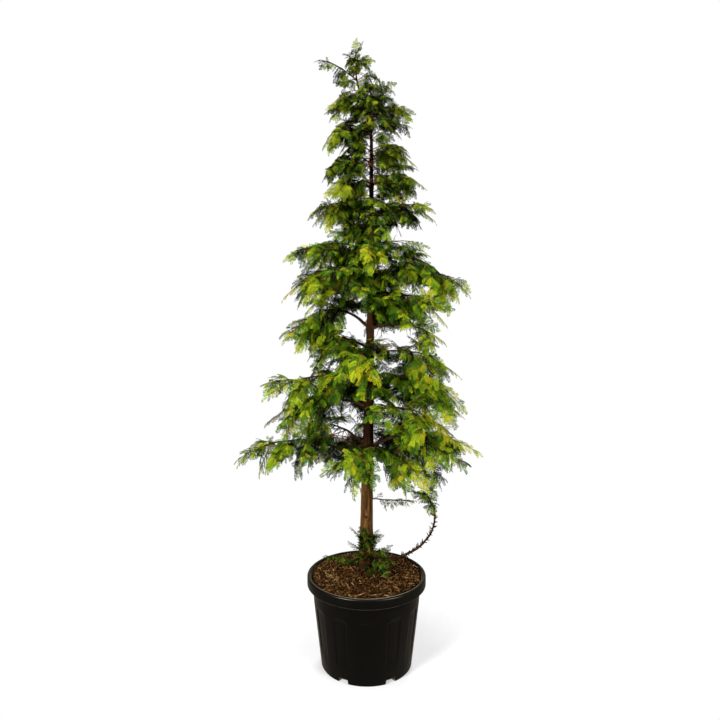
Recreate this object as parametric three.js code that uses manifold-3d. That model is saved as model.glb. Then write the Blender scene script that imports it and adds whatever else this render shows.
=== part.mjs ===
// A young dawn redwood in a black nursery pot: one straight trunk with a bent leader, boughs in
// rough tiers, and on each bough a flat, drooping mass of needle sprays.
// Millimetres and degrees, +Z up. The origin is the centre of the pot's underside and -Y is the
// front. A bearing is counted from +X, the tree's right seen from the front, towards +Y, its back.

import * as THREE from "three";
import { mergeVertices } from "three/addons/utils/BufferGeometryUtils.js";
import Module from "manifold-3d";

const wasm = await Module();
wasm.setup();

const { lerp, smoothstep, degToRad } = THREE.MathUtils;
const UP = new THREE.Vector3(0, 0, 1);

// Clearance between neighbouring pieces
const GAP = 0.3;

// Pot: a tapered tub with a rolled lip, shallow flutes and drain notches round its foot
const POT = {
  height: 358,
  baseRadius: 183,
  baseRound: 3,
  bodyRadius: 214, // at the top of the flutes
  bodyTop: 256,
  neckRadius: 220, // just under the lip
  neckTop: 312,
  lipRadius: 242,
  lipBottom: 318,
  lipRound: 12,
  lipWidth: 14,
  lipFall: 2, // from the lip's outer to its inner edge
  wall: 8, // between the flutes
  floor: 6,
  sides: 36,
};
const FLUTE = { count: 12, depth: 3.2, bottom: 46, top: 250, fade: 8 };
const NOTCH = { count: 6, width: 40, height: 16, depth: 30 };

// Soil: it fills the pot to just under the lip and rises to the trunk's foot
const SOIL = { edge: 350, crown: 384, footRadius: 48, shoulderRadius: 121, shoulder: 366 };

// Trunk: a round taper with a root flare, a slight bow and a leader that kinks to the left
const TRUNK = {
  top: 2425,
  footRadius: 27,
  tipRadius: 2.6,
  flare: 13,
  flareHeight: 55,
  sides: 9,
  rings: 16,
  crowding: 1.35, // above 1, the rings stand closer together at the flare
};
const LEAN = { bow: 20, bowFrom: 420, bowTo: 1750, kink: 64, kinkFrom: 2120, kinkTo: 2420 };
const TRUNK_FOOT = SOIL.crown + GAP;

// Boughs: where each leaves the trunk, which way, how long it is with its foliage, how steeply
// it climbs as it leaves the trunk and at its end, and the share of it that is bare of foliage.
// A bough with no bare share is all foliage. Some have their own thickness or spray length.
const BOUGHS = [
  { name: "1_left", height: 796, bearing: 184, length: 580, leaves: 37, ends: -42, bare: 0.34, spray: 170 },
  { name: "1_front_left", height: 846, bearing: 258, length: 365, leaves: 26, ends: -26, bare: 0.24 },
  { name: "1_front_right", height: 860, bearing: 309, length: 380, leaves: 14, ends: -44, bare: 0.28 },
  { name: "1_right", height: 870, bearing: 352, length: 490, leaves: 28, ends: -34, bare: 0.3 },
  { name: "1_back_right", height: 832, bearing: 58, length: 480, leaves: 26, ends: -36, bare: 0.3 },
  { name: "1_back_left", height: 862, bearing: 126, length: 480, leaves: 26, ends: -36 },
  { name: "2_left", height: 1035, bearing: 176, length: 468, leaves: 20, ends: -44, bare: 0.28 },
  { name: "2_front_right", height: 1020, bearing: 322, length: 430, leaves: 18, ends: -40, bare: 0.28 },
  { name: "2_right", height: 1120, bearing: 8, length: 480, leaves: 24, ends: -62, bare: 0.28 },
  { name: "2_back", height: 1060, bearing: 92, length: 440, leaves: 22, ends: -36 },
  { name: "3_left", height: 1136, bearing: 194, length: 455, leaves: 16, ends: -31, bare: 0.28,
    spray: 185 },
  { name: "3_front", height: 1260, bearing: 258, length: 340, leaves: 16, ends: -44, bare: 0.24 },
  { name: "3_right", height: 1250, bearing: 342, length: 400, leaves: 14, ends: -40, bare: 0.26 },
  { name: "3_back", height: 1270, bearing: 146, length: 420, leaves: 24, ends: -34 },
  { name: "4_left", height: 1350, bearing: 178, length: 435, leaves: 50, ends: -96, bare: 0.3 },
  { name: "4_back", height: 1400, bearing: 58, length: 370, leaves: 26, ends: -38 },
  { name: "4_front_right", height: 1358, bearing: 326, length: 360, leaves: 12, ends: -30, bare: 0.45,
    spray: 130 },
  { name: "4_right", height: 1470, bearing: 346, length: 365, leaves: 22, ends: -64 },
  { name: "5_left", height: 1530, bearing: 198, length: 425, leaves: 34, ends: -58, bare: 0.22 },
  { name: "5_right", height: 1620, bearing: 6, length: 485, leaves: 24, ends: -104, bare: 0.22,
    spray: 170 },
  { name: "5_back", height: 1550, bearing: 76, length: 330, leaves: 26, ends: -40 },
  { name: "6_left", height: 1645, bearing: 168, length: 385, leaves: 41, ends: -80 },
  { name: "6_front", height: 1660, bearing: 266, length: 280, leaves: 26, ends: -46 },
  { name: "7_right", height: 1802, bearing: 352, length: 305, leaves: 40, ends: -54 },
  { name: "7_back", height: 1760, bearing: 105, length: 270, leaves: 30, ends: -44 },
  { name: "7_left", height: 1838, bearing: 192, length: 284, leaves: 28, ends: -64 },
  { name: "8_front_left", height: 1925, bearing: 212, length: 250, leaves: 30, ends: -58 },
  { name: "8_right", height: 1935, bearing: 10, length: 265, leaves: 42, ends: -48 },
  { name: "9_left", height: 2030, bearing: 172, length: 262, leaves: 36, ends: -80 },
  { name: "9_back", height: 2070, bearing: 88, length: 200, leaves: 32, ends: -40 },
  { name: "9_upper_left", height: 2145, bearing: 196, length: 268, leaves: 38, ends: -84 },
  { name: "9_right", height: 2052, bearing: 344, length: 220, leaves: 32, ends: -62 },
  { name: "10_right", height: 2195, bearing: 14, length: 225, leaves: 56, ends: -26 },
  { name: "10_left", height: 2265, bearing: 196, length: 182, leaves: 42, ends: -60 },
  { name: "11_right", height: 2270, bearing: 350, length: 152, leaves: 42, ends: -40, spray: 88 },
  { name: "11_left", height: 2370, bearing: 186, length: 190, leaves: 40, ends: 10, spray: 56 },
];

// Thin growth below the crown: a low twig on the right and needles round the trunk's foot
const LOW_GROWTH = [
  { name: "low_twig", height: 664, bearing: 352, length: 210, leaves: -4, ends: 4, thick: 3, spray: 44 },
  { name: "foot", height: 412, bearing: 316, length: 170, leaves: 34, ends: -16, thick: 4, spray: 105 },
];

// A shoot from the trunk's foot that lies low, then turns up and back to its leafy end. Its limb
// is in two parts, which meet at the bend.
const FOOT_SHOOT = {
  name: "foot_shoot",
  height: 404,
  bearing: 12,
  length: 556,
  leaves: -3,
  ends: 182,
  bend: 1.8,
  split: 0.5,
  bare: 0.78,
  thick: 6.4,
  spray: 86,
};

// The crown's top, which stands on the trunk's tip
const LEADER = { name: "leader", length: 112, leaves: 89, ends: 89, bearing: 90, spray: 66 };

const LIMB = { thick: 0.018, thickest: 9, taper: 0.5, sides: 5, rings: 3 };
const PATH_STEPS = 12;
const BEND = 1.25; // above 1, a bough bends more towards its end

// Foliage: sprays leave the stem on twigs of their own, in turn raised to the right and the left,
// hanging, and lower to the right and the left. They spread apart like a fan, and the stem ends in
// a spray too.
const STEM = { tipRadius: 2.8, sides: 3, rings: 3, thinner: 0.8 };
const FAN = {
  step: 25,
  fewest: 4,
  most: 8,
  widest: 82, // from the stem, at its root
  narrowest: 34, // at its end
  ranks: [30, 150, 268, 345, 195, 250], // turns round the stem
};
const GOLDEN_ANGLE = 137.5;
const SPRAY = {
  length: 0.52, // share of its bough's length
  shortest: 150,
  longest: 250,
  shrink: 0.15, // towards the stem's end
  core: 2.6,
  sides: 3,
  droop: 0.16,
  twist: 60,
};
const TIP_SPRAY = { length: 0.8, most: 0.6, sunk: 6 };
const UNEVEN = { turn: 14, angle: 6, length: 0.12 };
const STEEP = 0.97; // a spray that climbs or falls more than this is turned by +X, not by the level
// A spray that leaves its space is tried at these smaller sizes, then left out
const TRIED_SIZES = [1, 0.85, 0.7, 0.55, 0.45];

// Each row of a spray's teeth: where it starts and ends, and where and how far out its teeth reach,
// as shares of the spray's length. Its twig is the bare part before the first row.
const TOOTH_ROWS = [
  { from: 0.2, to: 0.52, at: 0.5, reach: 0.4 },
  { from: 0.52, to: 0.82, at: 0.8, reach: 0.32 },
];
const ROOT_REACH = 26; // a spray may meet the rest of its mass this near its root

const MATERIALS = {
  pot: new THREE.MeshStandardMaterial({ color: 0x1c1b19, roughness: 0.5, metalness: 0 }),
  soil: new THREE.MeshStandardMaterial({ color: 0x5a4128, roughness: 1, metalness: 0 }),
  bark: new THREE.MeshStandardMaterial({ color: 0x6b4a30, roughness: 0.95, metalness: 0 }),
  foliage: new THREE.MeshStandardMaterial({ color: 0x7f9a2f, roughness: 0.7, metalness: 0 }),
};

// A repeatable stream of numbers from 0 to 1
function seeded(seed) {
  let state = seed >>> 0;
  return () => {
    state = (state + 0x6d2b79f5) >>> 0;
    let mixed = Math.imul(state ^ (state >>> 15), state | 1);
    mixed ^= mixed + Math.imul(mixed ^ (mixed >>> 7), mixed | 61);
    return ((mixed ^ (mixed >>> 14)) >>> 0) / 4294967296;
  };
}

// Solids: closed geometries go to and from the boolean library here

function toSolid(geometry) {
  const bare = geometry.clone();
  bare.deleteAttribute("normal");
  bare.deleteAttribute("uv");
  const merged = mergeVertices(bare, 1e-3);
  const corners = merged.index.array;
  const kept = [];
  for (let i = 0; i < corners.length; i += 3) {
    const [a, b, c] = corners.slice(i, i + 3);
    if (a !== b && b !== c && c !== a) kept.push(a, b, c);
  }
  return new wasm.Manifold(
    new wasm.Mesh({
      numProp: 3,
      vertProperties: new Float32Array(merged.attributes.position.array),
      triVerts: new Uint32Array(kept),
    }),
  );
}

function toGeometry(solid) {
  const mesh = solid.getMesh();
  const geometry = new THREE.BufferGeometry();
  geometry.setAttribute("position", new THREE.BufferAttribute(mesh.vertProperties, 3));
  geometry.setIndex(new THREE.BufferAttribute(mesh.triVerts, 1));
  geometry.computeVertexNormals();
  return geometry;
}

// The largest single body of a solid: loose scraps and sealed hollows are left behind
function mainBody(solid) {
  return solid.decompose().reduce((best, body) => (body.volume() > best.volume() ? body : best));
}

function named(name, geometry, material) {
  const mesh = new THREE.Mesh(geometry, material);
  mesh.name = name;
  return mesh;
}

// Pot and soil

function potRadiusAt(z) {
  return lerp(POT.baseRadius, POT.bodyRadius, z / POT.bodyTop);
}

// Outside from the middle of the underside up to the lip, then down the inside to the floor
function potProfile() {
  const inside = (z) => potRadiusAt(z) - POT.wall;
  const rows = [FLUTE.bottom - FLUTE.fade, FLUTE.bottom, FLUTE.top, POT.bodyTop];
  return [
    [0, 0],
    [POT.baseRadius - POT.baseRound, 0],
    [potRadiusAt(POT.baseRound), POT.baseRound],
    ...rows.map((z) => [potRadiusAt(z), z]),
    [POT.neckRadius, POT.neckTop],
    [POT.lipRadius - POT.lipRound / 2, POT.lipBottom],
    [POT.lipRadius, POT.lipBottom + POT.lipRound],
    [POT.lipRadius, POT.height - POT.lipRound],
    [POT.lipRadius - POT.lipRound / 2, POT.height],
    [POT.lipRadius - POT.lipWidth, POT.height - POT.lipFall],
    [POT.neckRadius - POT.wall, POT.lipBottom],
    [inside(POT.bodyTop), POT.bodyTop],
    [inside(POT.floor), POT.floor],
    [0, POT.floor],
  ].map(([radius, z]) => new THREE.Vector2(radius, z));
}

function upright(lathe) {
  return lathe.rotateX(Math.PI / 2);
}

// Pushes the outside in along the flutes
function pressFlutes(geometry) {
  const place = geometry.attributes.position;
  const pitch = (2 * Math.PI) / FLUTE.count;
  for (let i = 0; i < place.count; i++) {
    const [x, y, z] = [place.getX(i), place.getY(i), place.getZ(i)];
    const radius = Math.hypot(x, y);
    const outside = radius > potRadiusAt(z) - POT.wall / 2;
    const turn = Math.atan2(x, -y) / pitch;
    const inFlute = Math.abs(turn - Math.round(turn)) < 0.25;
    if (outside && inFlute && z >= FLUTE.bottom && z <= FLUTE.top) {
      const pressed = (radius - FLUTE.depth) / radius;
      place.setXY(i, x * pressed, y * pressed);
    }
  }
  return geometry;
}

function makePot() {
  const step = (2 * Math.PI) / POT.sides;
  const tub = upright(new THREE.LatheGeometry(potProfile(), POT.sides, step / 2));
  let pot = toSolid(pressFlutes(tub));
  for (let i = 0; i < NOTCH.count; i++) {
    const notch = new THREE.BoxGeometry(2 * NOTCH.depth, NOTCH.width, 2 * NOTCH.height)
      .translate(POT.baseRadius, 0, 0)
      .rotateZ((2 * Math.PI * i) / NOTCH.count);
    pot = pot.subtract(toSolid(notch));
  }
  return named("pot", toGeometry(pot), MATERIALS.pot);
}

// The radius inside the lip, between its foot and its top
function insideLip(z) {
  const share = (z - POT.lipBottom) / (POT.height - POT.lipFall - POT.lipBottom);
  return lerp(POT.neckRadius - POT.wall, POT.lipRadius - POT.lipWidth, share);
}

function makeSoil() {
  const clear = 2 * GAP;
  const inside = (z) => potRadiusAt(z) - POT.wall - clear;
  const profile = [
    [0, POT.floor + GAP],
    [inside(POT.floor), POT.floor + GAP],
    [inside(POT.bodyTop), POT.bodyTop],
    [insideLip(POT.lipBottom) - clear, POT.lipBottom],
    [insideLip(SOIL.edge) - clear, SOIL.edge],
    [SOIL.shoulderRadius, SOIL.shoulder],
    [SOIL.footRadius, SOIL.crown],
    [0, SOIL.crown],
  ].map(([radius, z]) => new THREE.Vector2(radius, z));
  const step = (2 * Math.PI) / POT.sides;
  const fill = upright(new THREE.LatheGeometry(profile, POT.sides / 2, step / 2));
  return named("soil", toGeometry(toSolid(fill)), MATERIALS.soil);
}

// Trunk

function trunkCentre(z) {
  const bow = LEAN.bow * smoothstep(z, LEAN.bowFrom, LEAN.bowTo);
  const kink = LEAN.kink * smoothstep(z, LEAN.kinkFrom, LEAN.kinkTo);
  return new THREE.Vector3(bow - kink, 0, z);
}

function trunkRadius(z) {
  const taper = lerp(TRUNK.footRadius, TRUNK.tipRadius, (z - TRUNK_FOOT) / (TRUNK.top - TRUNK_FOOT));
  return taper + TRUNK.flare * Math.exp(-(z - TRUNK_FOOT) / TRUNK.flareHeight);
}

// A cylinder whose level rings follow the trunk's lean and taper, so that its foot is cut flat
function trunkGeometry(grown) {
  const trunk = new THREE.CylinderGeometry(1, 1, 1, TRUNK.sides, TRUNK.rings);
  const place = trunk.attributes.position;
  for (let i = 0; i < place.count; i++) {
    const z = lerp(TRUNK_FOOT, TRUNK.top, (place.getY(i) + 0.5) ** TRUNK.crowding);
    const centre = trunkCentre(z);
    const radius = trunkRadius(z) + grown;
    place.setXYZ(i, centre.x + radius * place.getX(i), centre.y - radius * place.getZ(i), z);
  }
  return trunk;
}

// Boughs and twigs

// A closed tapering tube along a curve, from a cylinder whose rings are set along it
function taperedTube(curve, radiusAt, sides, rings) {
  const tube = new THREE.CylinderGeometry(1, 1, 1, sides, rings);
  const frames = curve.computeFrenetFrames(rings, false);
  const place = tube.attributes.position;
  for (let i = 0; i < place.count; i++) {
    const share = place.getY(i) + 0.5;
    const ring = Math.round(share * rings);
    const point = curve
      .getPointAt(share)
      .addScaledVector(frames.normals[ring], place.getX(i) * radiusAt(share))
      .addScaledVector(frames.binormals[ring], -place.getZ(i) * radiusAt(share));
    place.setXYZ(i, point.x, point.y, point.z);
  }
  return tube;
}

function heading(bearing, climb) {
  const flat = Math.cos(degToRad(climb));
  return new THREE.Vector3(
    flat * Math.cos(degToRad(bearing)),
    flat * Math.sin(degToRad(bearing)),
    Math.sin(degToRad(climb)),
  );
}

// The whole line of a bough, from its root to the tip of its foliage
function boughLine(bough, root) {
  const points = [root];
  for (let i = 0; i < PATH_STEPS; i++) {
    const share = ((i + 0.5) / PATH_STEPS) ** (bough.bend ?? BEND);
    const climb = lerp(bough.leaves, bough.ends, share);
    const step = heading(bough.bearing, climb).multiplyScalar(bough.length / PATH_STEPS);
    points.push(points.at(-1).clone().add(step));
  }
  return points;
}

// A stretch of a line of points, from one share of its length to another, as a smooth curve
class Stretch extends THREE.Curve {
  constructor(points, from, to) {
    super();
    this.whole = new THREE.CatmullRomCurve3(points);
    this.from = from;
    this.to = to;
  }

  getPoint(share, target) {
    return this.whole.getPointAt(lerp(this.from, this.to, share), target);
  }
}

function limbRadius(bough) {
  return bough.thick ?? Math.min(LIMB.thick * bough.length, LIMB.thickest);
}

// The bare parts of a bough: one limb, or two that meet at its bend
function makeLimbs(bough, trunkRoom) {
  const thick = limbRadius(bough);
  const cuts = [0, bough.split, bough.bare].filter((cut) => cut !== undefined);
  return cuts.slice(1).map((to, i) => {
    const from = cuts[i] && cuts[i] + GAP / bough.length;
    const radiusAt = (share) => thick * lerp(1, LIMB.taper, lerp(from, to, share) / bough.bare);
    const tube = taperedTube(new Stretch(bough.line, from, to), radiusAt, LIMB.sides, LIMB.rings);
    const name = ["bough", bough.name, bough.split && ["lower", "upper"][i]].filter(Boolean).join("_");
    return { name, solid: mainBody(toSolid(tube).subtract(trunkRoom)) };
  });
}

// Foliage

// Places a point of a spray by its share of the length, its distance from the core's middle,
// and its turn round the core
function sprayFrame({ root, along, normal, length, roll }) {
  const across = new THREE.Vector3().crossVectors(normal, along);
  return (lengthwise, outward, turn) => {
    const angle = degToRad(turn + roll);
    return root
      .clone()
      .addScaledVector(along, lengthwise * length)
      .addScaledVector(across, outward * Math.cos(angle))
      .addScaledVector(normal, outward * Math.sin(angle));
  };
}

// The same thing on each side of a spray's core
function eachSide(make) {
  return Array.from({ length: SPRAY.sides }, (_, side) => make(side));
}

// The tips of a spray's teeth, row by row, and last the spray's own tip
function sprayTips(spray) {
  const at = sprayFrame(spray);
  const pitch = 360 / SPRAY.sides;
  const tips = TOOTH_ROWS.flatMap((row, level) => {
    const turn = (level + 0.5) * SPRAY.twist + pitch / 2;
    return eachSide((side) => at(row.at, row.reach * spray.length, turn + side * pitch));
  });
  return [...tips, at(1, 0, 0)];
}

// A spray of needles: a slim three-sided twig, and beyond its bare part thin teeth all round it
function sprayBlade(spray) {
  const at = sprayFrame(spray);
  const pitch = 360 / SPRAY.sides;
  const ring = (share, turn) => eachSide((side) => at(share, SPRAY.core, side * pitch + turn));
  const rings = [ring(0, 0), ...TOOTH_ROWS.map((row, level) => ring(row.from, level * SPRAY.twist))];
  rings.push(ring(TOOTH_ROWS.at(-1).to, TOOTH_ROWS.length * SPRAY.twist));
  const corners = [...rings.flat(), ...sprayTips(spray)];
  const firstTip = rings.length * SPRAY.sides;
  const end = corners.length - 1;
  const faces = [2, 1, 0];
  eachSide((side) => {
    const next = (side + 1) % SPRAY.sides;
    faces.push(side, next, next + SPRAY.sides, side, next + SPRAY.sides, side + SPRAY.sides);
    TOOTH_ROWS.forEach((_, level) => {
      const low = (level + 1) * SPRAY.sides;
      const high = low + SPRAY.sides;
      const tip = firstTip + level * SPRAY.sides + side;
      const base = [low + side, low + next, high + next, high + side];
      base.forEach((from, i) => faces.push(from, base[(i + 1) % 4], tip));
    });
    const last = firstTip - SPRAY.sides;
    faces.push(last + side, last + next, end);
  });
  return new THREE.BufferGeometry().setFromPoints(corners).setIndex(faces);
}

// One spray, which droops a little; its first row of teeth is turned by the roll
function newSpray(root, direction, length, roll) {
  const along = direction.clone().addScaledVector(UP, -SPRAY.droop).normalize();
  const level = Math.abs(along.z) > STEEP ? new THREE.Vector3(1, 0, 0) : UP;
  const normal = level.clone().addScaledVector(along, -level.dot(along)).normalize();
  return { root, along, normal, length, roll };
}

function clamped(value, least, most) {
  return Math.min(Math.max(value, least), most);
}

// The seeded rule: the stem, the sprays along it and the spray on its end
function growth(bough, seed) {
  const random = seeded(seed);
  const spread = (most) => most * (2 * random() - 1);
  const longest = bough.spray ?? clamped(SPRAY.length * bough.length, SPRAY.shortest, SPRAY.longest);
  const tipLength = Math.min(TIP_SPRAY.length * longest, TIP_SPRAY.most * bough.length);
  const stem = new Stretch(bough.line, bough.bare ?? 0, 1 - tipLength / bough.length);
  const count = clamped(Math.round(stem.getLength() / FAN.step), FAN.fewest, FAN.most);
  const side = heading(bough.bearing - 90, 0);
  const sprays = [];
  for (let i = 0; i < count; i++) {
    const share = (i + 0.6) / count;
    const forward = stem.getTangentAt(share);
    const over = new THREE.Vector3().crossVectors(side, forward);
    const rank = bough.spiral ? GOLDEN_ANGLE * i : FAN.ranks[i % FAN.ranks.length];
    const turn = degToRad(rank + spread(UNEVEN.turn));
    const angle = degToRad(lerp(FAN.widest, FAN.narrowest, share) + spread(UNEVEN.angle));
    const direction = forward
      .multiplyScalar(Math.cos(angle))
      .addScaledVector(side, Math.cos(turn) * Math.sin(angle))
      .addScaledVector(over, Math.sin(turn) * Math.sin(angle));
    const length = longest * (1 - SPRAY.shrink * share) * (1 + spread(UNEVEN.length));
    sprays.push(newSpray(stem.getPointAt(share), direction, length, spread(180)));
  }
  const stemEnd = stem.getPointAt(1);
  const onward = bough.line.at(-1).clone().sub(stemEnd).normalize();
  const tipRoot = stemEnd.addScaledVector(onward, -TIP_SPRAY.sunk);
  sprays.unshift(newSpray(tipRoot, onward, tipLength + TIP_SPRAY.sunk, spread(180)));
  return { stem, sprays };
}

function boxOf(solid) {
  const { min, max } = solid.boundingBox();
  return new THREE.Box3(new THREE.Vector3(...min), new THREE.Vector3(...max));
}

function touches(piece, solid) {
  return boxOf(piece).intersectsBox(boxOf(solid)) && !piece.intersect(solid).isEmpty();
}

// True where a spray meets the rest of its mass only close to its own root
function meetsOnlyAtRoot(piece, root, mass) {
  const shared = piece.intersect(mass);
  if (shared.isEmpty()) return true;
  const extent = boxOf(shared).expandByPoint(root).getSize(new THREE.Vector3());
  return extent.length() < ROOT_REACH;
}

// Fuses a spray to its mass at the largest tried size that touches nothing else, if there is one
function addSpray(mass, spray, others) {
  for (const size of TRIED_SIZES) {
    const tried = { ...spray, length: size * spray.length };
    const piece = toSolid(sprayBlade(tried));
    const clear = boxOf(piece).min.z > SOIL.crown && !others.some((solid) => touches(piece, solid));
    if (clear && meetsOnlyAtRoot(piece, spray.root, mass.solid)) {
      mass.solid = mass.solid.add(piece);
      return;
    }
  }
}

// A mass before any spray is fused to it: its stem, which meets its limb or the trunk
function newMass(bough, seed, trunkRoom) {
  const { stem, sprays } = growth(bough, seed);
  const thinner = bough.bare ? LIMB.taper : STEM.thinner;
  const thick = Math.max(limbRadius(bough) * thinner, STEM.tipRadius);
  const radiusAt = (share) => lerp(thick, STEM.tipRadius, share);
  const tube = toSolid(taperedTube(stem, radiusAt, STEM.sides, STEM.rings));
  return { name: bough.name, sprays, solid: mainBody(tube.subtract(trunkRoom)) };
}

// The tree

function withLine(bough) {
  return { ...bough, line: boughLine(bough, trunkCentre(bough.height)) };
}

function leaderBough() {
  const root = trunkCentre(TRUNK.top + GAP);
  return { ...LEADER, spiral: true, line: boughLine(LEADER, root) };
}

// The sprays are set in rounds, one on each mass at a time, so that the masses share the crown
function growFoliage(boughs, limbs, trunkRoom) {
  const masses = boughs.map((bough, i) => newMass(bough, i + 1, trunkRoom));
  for (let round = 0; round <= FAN.most; round++) {
    for (const mass of masses.filter(({ sprays }) => sprays[round])) {
      const others = [...limbs, ...masses].filter((other) => other !== mass);
      addSpray(mass, mass.sprays[round], [trunkRoom, ...others.map(({ solid }) => solid)]);
    }
  }
  return masses;
}

function makeTree() {
  const tree = new THREE.Group();
  const trunkRoom = toSolid(trunkGeometry(GAP));
  const boughs = [...[...BOUGHS, ...LOW_GROWTH, FOOT_SHOOT].map(withLine), leaderBough()];
  const bearers = boughs.filter(({ bare }) => bare);
  const limbs = bearers.flatMap((bough) => makeLimbs(bough, trunkRoom));
  bearers.forEach((bough) => (bough.bare += GAP / bough.length));
  const masses = growFoliage(boughs, limbs, trunkRoom);
  tree.add(named("trunk", toGeometry(toSolid(trunkGeometry(0))), MATERIALS.bark));
  limbs.forEach(({ name, solid }) => tree.add(named(name, toGeometry(solid), MATERIALS.bark)));
  masses.forEach(({ name, solid }) => {
    tree.add(named(`foliage_${name}`, toGeometry(mainBody(solid)), MATERIALS.foliage));
  });
  return tree;
}

const dawnRedwood = new THREE.Group();
dawnRedwood.add(makePot(), makeSoil(), makeTree());

export default dawnRedwood;
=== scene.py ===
import math
from dataclasses import dataclass

import bpy
import numpy as np
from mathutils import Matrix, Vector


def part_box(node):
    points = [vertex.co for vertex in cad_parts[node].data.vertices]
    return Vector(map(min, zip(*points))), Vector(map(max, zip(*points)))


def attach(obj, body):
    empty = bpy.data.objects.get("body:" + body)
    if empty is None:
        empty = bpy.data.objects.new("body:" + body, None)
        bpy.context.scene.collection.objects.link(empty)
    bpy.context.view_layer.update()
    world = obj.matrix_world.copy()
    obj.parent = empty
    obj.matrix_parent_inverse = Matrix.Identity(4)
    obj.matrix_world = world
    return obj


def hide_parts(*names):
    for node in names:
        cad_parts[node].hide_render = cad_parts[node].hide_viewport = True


# A young dawn redwood in a black nursery pot: bark, boughs, leafy shoots and needles grown over the solids.
# Metres and degrees, +Z up, and -Y is the front. A bearing is counted from +X, the tree's right seen from
# the front, towards +Y, its back.

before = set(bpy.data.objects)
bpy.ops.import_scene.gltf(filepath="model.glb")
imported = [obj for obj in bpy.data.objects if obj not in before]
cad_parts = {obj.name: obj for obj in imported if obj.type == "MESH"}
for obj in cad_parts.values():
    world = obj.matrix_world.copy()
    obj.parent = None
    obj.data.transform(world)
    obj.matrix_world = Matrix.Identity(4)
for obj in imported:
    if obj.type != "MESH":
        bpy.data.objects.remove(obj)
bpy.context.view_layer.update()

UP = np.array([0.0, 0.0, 1.0])
POT_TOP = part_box("pot")[1].z
LIP_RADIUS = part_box("pot")[1].x
TRUNK_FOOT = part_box("trunk")[0].z
TRUNK_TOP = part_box("trunk")[1].z

# Pot
POT_BASE_RADIUS = 0.183
POT_BASE_ROUND = 0.003
POT_BODY_RADIUS = 0.214
POT_BODY_TOP = 0.256
POT_NECK_RADIUS = 0.22
POT_NECK_TOP = 0.312
LIP_BOTTOM = 0.318
LIP_ROUND = 0.012
LIP_WIDTH = 0.014
LIP_EASE = 0.002
POT_WALL = 0.009
POT_WALL_TAPER = 0.004
POT_INSIDE_TOP = 0.33
POT_INSIDE_FOOT = 0.314
POT_BODY_FOOT = 0.018
POT_BODY_ROWS = 44
SHOULDER_SPAN = (0.12, 1.0)
SHOULDER_ROWS = 9
SHOULDER_ROUND = 0.7
POT_COLUMNS = 360

# Flutes and drain notches. FLUTE_HALF, FLUTE_EDGE and NOTCH_EDGE are shares of the pitch.
FLUTES = 12
FLUTE_DEPTH = 0.0032
FLUTE_TOP = 0.26
FLUTE_TOP_EDGE = 0.006
FLUTE_ARCH = 0.012
FLUTE_HALF = 0.25
FLUTE_EDGE = (0.225, 0.265)
FLUTE_FADE = (0.035, 0.115)
NOTCHES = 6
NOTCH_WIDTH = 0.04
NOTCH_HEIGHT = 0.016
NOTCH_DEPTH = 0.03
NOTCH_EDGE = 0.004
NOTCH_WALL = 0.0008

# Soil: radius and height of its profile, its lumps by count and size, and the bed under it
SOIL_PROFILE = ((0.0, 0.384), (0.048, 0.384), (0.121, 0.366), (0.223, 0.35))
SOIL_RINGS = 60
SOIL_COLUMNS = 240
SOIL_ROUGH = 0.0035
SOIL_LUMPS = ((24, 0.03), (60, 0.012), (120, 0.006))
SOIL_EVEN = (0.03, 0.06)
SOIL_START = 0.012
SOIL_SINK = 0.001
SOIL_BED = 0.322
SOIL_BED_SHARE = 0.92

# Strands of bark on the soil: sizes, the place, bend and width of three rings, and shares and sRGB colours
CHIP_COUNT = 5200
CHIP_REACH = 0.214
CHIP_CLEAR = 0.03
CHIP_LENGTH = (0.007, 0.033)
CHIP_NARROWEST = 0.0009
CHIP_SLIMNESS = (0.03, 0.2)
CHIP_THICKNESS = (0.0005, 0.0016)
CHIP_LIFT = (-0.0005, 0.005)
CHIP_RISE = 0.33
CHIP_ROLL = 0.4
CHIP_SHAPE = ((-0.5, 0.0, 0.5), (0.0, 0.16, 0.0), (0.55, 1.0, 0.6))
CHIP_CORNERS = ((-0.5, -0.4), (0.5, -0.4), (0.0, 0.6))
CHIP_TINTS = {
    "dark": (0.34, (34, 18, 8)),
    "brown": (0.36, (80, 50, 22)),
    "tan": (0.22, (126, 90, 46)),
    "pale": (0.08, (186, 152, 104)),
}

# Trunk
TRUNK_FOOT_RADIUS = 0.027
TRUNK_TIP_RADIUS = 0.0026
FLARE = 0.013
FLARE_HEIGHT = 0.055
BOW = 0.02
BOW_SPAN = (0.42, 1.75)
KINK = 0.064
KINK_SPAN = (2.12, 2.42)
TRUNK_SINK = 0.016
TRUNK_COLUMNS = 84
TRUNK_RING_STEP = 0.0045

# Bark: strips by count, height and weight, swellings at the boughs, a healed scar, and painted shade by
# height, at the foot and in the crown
BARK_DEPTH = 0.075
BARK_STRIPS = ((9, 0.16, 0.5), (17, 0.09, 0.7), (31, 0.045, 0.5), (42, 0.018, 0.25))
BARK_RIDGES = (0.3, 0.85)
BARK_DRIFT = ((0.05, 3.1), (0.02, 9.0))
COLLAR_WIDTH = 1.6
COLLAR_LIFT = 0.5
COLLAR_STRETCH = 1.5
COLLAR_SWELL = 0.45
KNOT_HEIGHT = 0.593
KNOT_BEARING = 262.0
KNOT_SIZE = 0.011
KNOT_FLATNESS = 0.8
KNOT_RIM = 0.0022
KNOT_RIM_WIDTH = 0.35
KNOT_HOLLOW = 0.003
KNOT_HOLLOW_WIDTH = 0.6
# Painted shade: how dark the bark is painted at each height, where foliage shades the trunk
BARK_SHADE_AT = (0.4, 0.46, 0.7, 0.92, 1.16, 1.34, 1.76, 1.88)
BARK_SHADE = (0.9, 0.0, 0.0, 1.0, 1.0, 0.75, 0.75, 1.0)

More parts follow.
